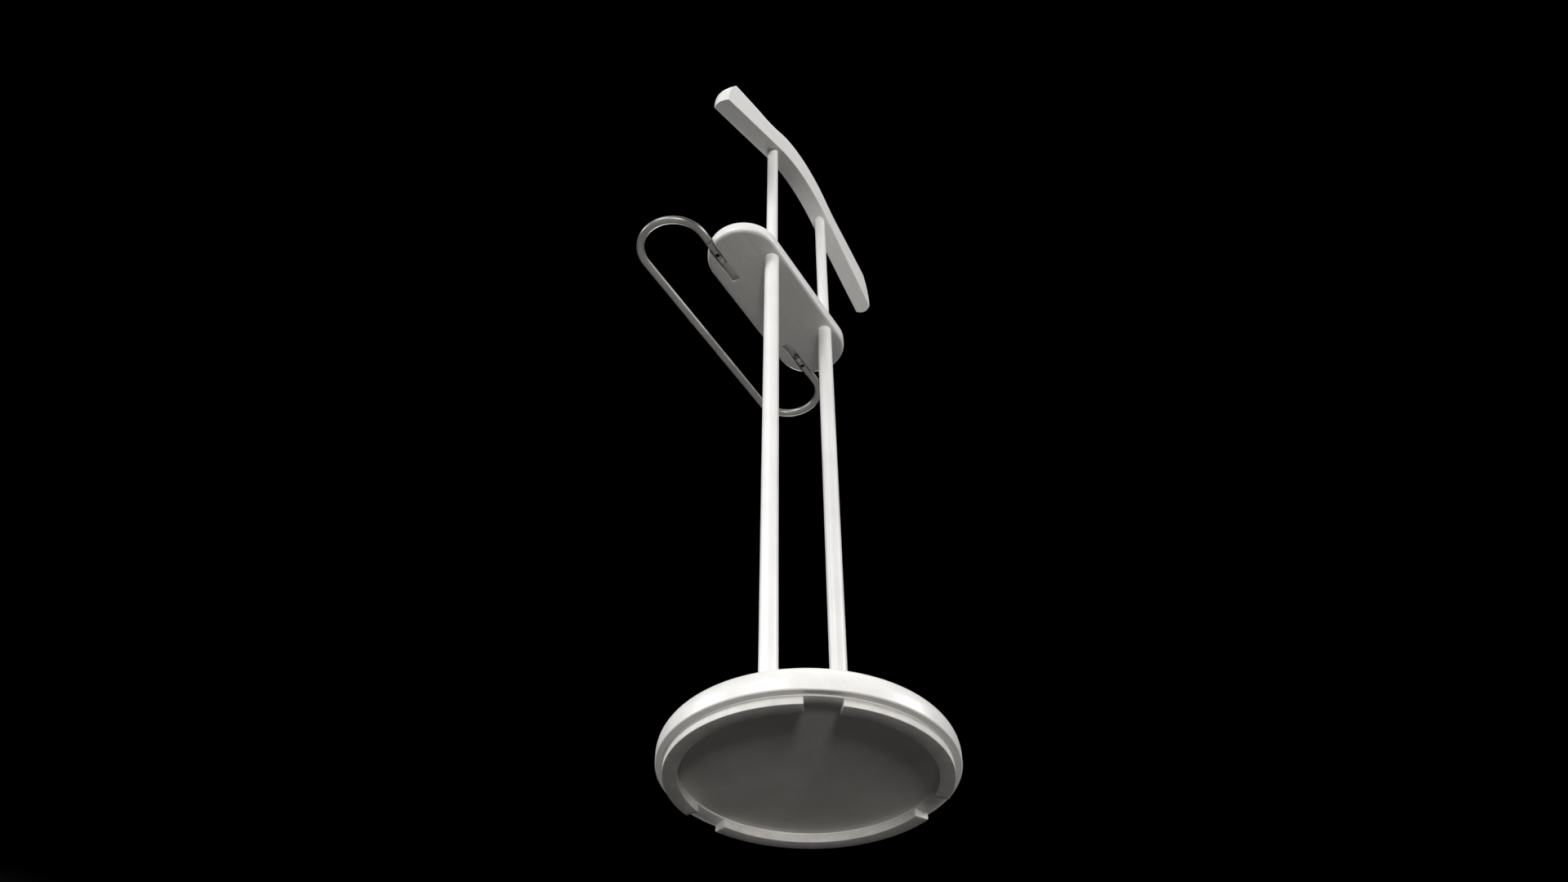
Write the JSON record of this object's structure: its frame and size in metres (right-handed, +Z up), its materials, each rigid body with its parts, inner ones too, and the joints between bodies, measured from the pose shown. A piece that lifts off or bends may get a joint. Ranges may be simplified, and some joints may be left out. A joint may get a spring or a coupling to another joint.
{
  "type": "valet stand",
  "caption": "Free-standing valet stand: round weighted base, two posts, a stadium tray with a fold-down rod loop that holds and presses trousers, and an arched coat hanger bar.",
  "frame": {"origin": "centre of the round base, on the floor that its pads stand on", "axes": "+Z up; X along the line of the two posts; -Y is the front, where the trouser bar sticks out over the base's edge"},
  "size_m": [0.453, 0.3138, 1.1255],
  "materials": {
    "painted_wood": "satin lacquer",
    "ballast_iron": "rough",
    "base_sheet": "satin",
    "ring_plastic": "matte",
    "pad_rubber": "matte",
    "post_enamel": "satin",
    "satin_bar": "satin",
    "plug_plastic": "matte",
    "fastener_steel": "satin",
    "blacked_screw": "matte",
    "insert_brass": "satin"
  },
  "bodies": {
    "frame": {"base_disc": "painted_wood", "tray": "painted_wood", "hanger": "painted_wood", "ballast_plate": "ballast_iron", "base_cover": "base_sheet", "foot_ring": "ring_plastic", "foot_pad_back": "pad_rubber", "foot_pad_left": "pad_rubber", "foot_pad_right": "pad_rubber", "lower_post_left": "post_enamel", "lower_post_right": "post_enamel", "upper_post_left": "post_enamel", "upper_post_right": "post_enamel", "pivot_bush_left": "satin_bar", "pivot_bush_right": "satin_bar", "lower_post_foot_plug_left": "plug_plastic", "lower_post_foot_plug_right": "plug_plastic", "lower_post_head_plug_left": "plug_plastic", "lower_post_head_plug_right": "plug_plastic", "upper_post_foot_plug_left": "plug_plastic", "upper_post_foot_plug_right": "plug_plastic", "upper_post_head_plug_left": "plug_plastic", "upper_post_head_plug_right": "plug_plastic", "foot_ring_screws": "fastener_steel", "base_bolt_left": "fastener_steel", "base_bolt_right": "fastener_steel", "base_washer_left": "fastener_steel", "base_washer_right": "fastener_steel", "tray_stud_left": "fastener_steel", "tray_stud_right": "fastener_steel", "hanger_stud_left": "fastener_steel", "hanger_stud_right": "fastener_steel", "pivot_set_screw_left": "blacked_screw", "pivot_set_screw_right": "blacked_screw", "hanger_insert_left": "insert_brass", "hanger_insert_right": "insert_brass"},
    "trouser_bar": {"trouser_bar": "satin_bar", "bar_end_collar_left": "fastener_steel", "bar_end_collar_right": "fastener_steel"}
  },
  "joints": [
    {"name": "trouser_bar_fold", "type": "hinge", "parent": "frame", "child": "trouser_bar", "pos_m": [0, -0.0625, 0.7697], "axis": [1, 0, 0], "range_deg": [0, 90]}
  ]
}
